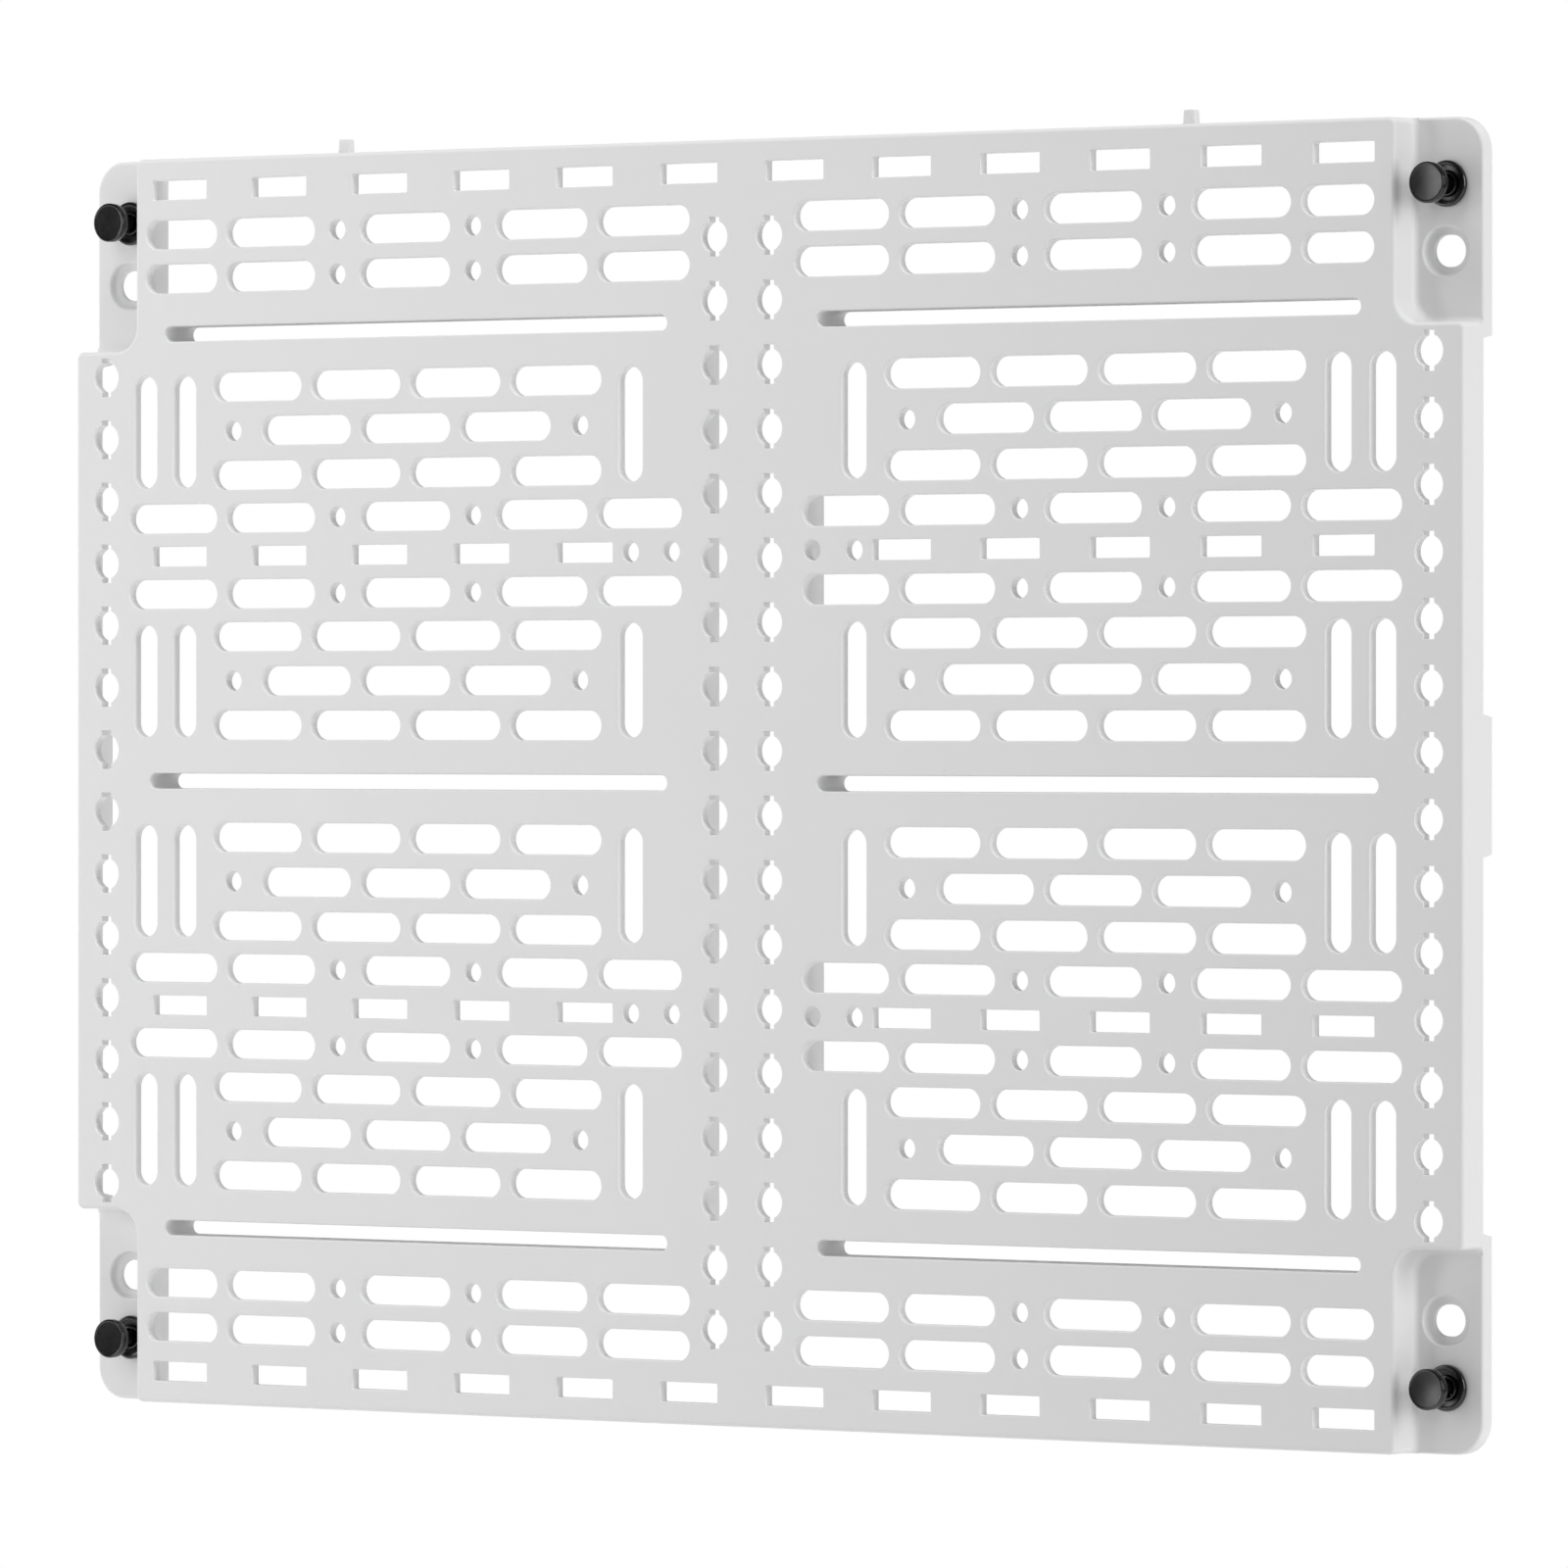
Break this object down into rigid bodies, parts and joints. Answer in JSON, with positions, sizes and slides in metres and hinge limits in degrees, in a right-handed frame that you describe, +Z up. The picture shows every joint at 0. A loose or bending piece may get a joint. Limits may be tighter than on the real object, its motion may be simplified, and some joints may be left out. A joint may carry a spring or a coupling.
{
  "type": "perforated equipment mounting plate",
  "caption": "White moulded plate with slots, round holes and keyholes for fastening small equipment, held to a wall by black push-in pins at its recessed corners.",
  "frame": {"origin": "the middle of the plate's front face", "axes": "+X right and +Z up as seen from the front, -Y out of the face, +Y into the wall behind"},
  "size_m": [0.3396, 0.017, 0.257],
  "materials": {
    "white_plastic": "satin moulded, fine grain",
    "black_nylon": "glossy"
  },
  "bodies": {
    "plate": {"plate": "white_plastic", "grommet_upper_left": "black_nylon", "grommet_upper_right": "black_nylon", "grommet_lower_left": "black_nylon", "grommet_lower_right": "black_nylon"},
    "plunger_upper_left": {"plunger_upper_left": "black_nylon"},
    "plunger_upper_right": {"plunger_upper_right": "black_nylon"},
    "plunger_lower_left": {"plunger_lower_left": "black_nylon"},
    "plunger_lower_right": {"plunger_lower_right": "black_nylon"}
  },
  "joints": [
    {"name": "push_upper_left", "type": "slide", "parent": "plate", "child": "plunger_upper_left", "axis": [0, 1, 0], "range_m": [0, 0.00425]},
    {"name": "push_upper_right", "type": "slide", "parent": "plate", "child": "plunger_upper_right", "axis": [0, 1, 0], "range_m": [0, 0.00425]},
    {"name": "push_lower_left", "type": "slide", "parent": "plate", "child": "plunger_lower_left", "axis": [0, 1, 0], "range_m": [0, 0.00425]},
    {"name": "push_lower_right", "type": "slide", "parent": "plate", "child": "plunger_lower_right", "axis": [0, 1, 0], "range_m": [0, 0.00425]}
  ]
}
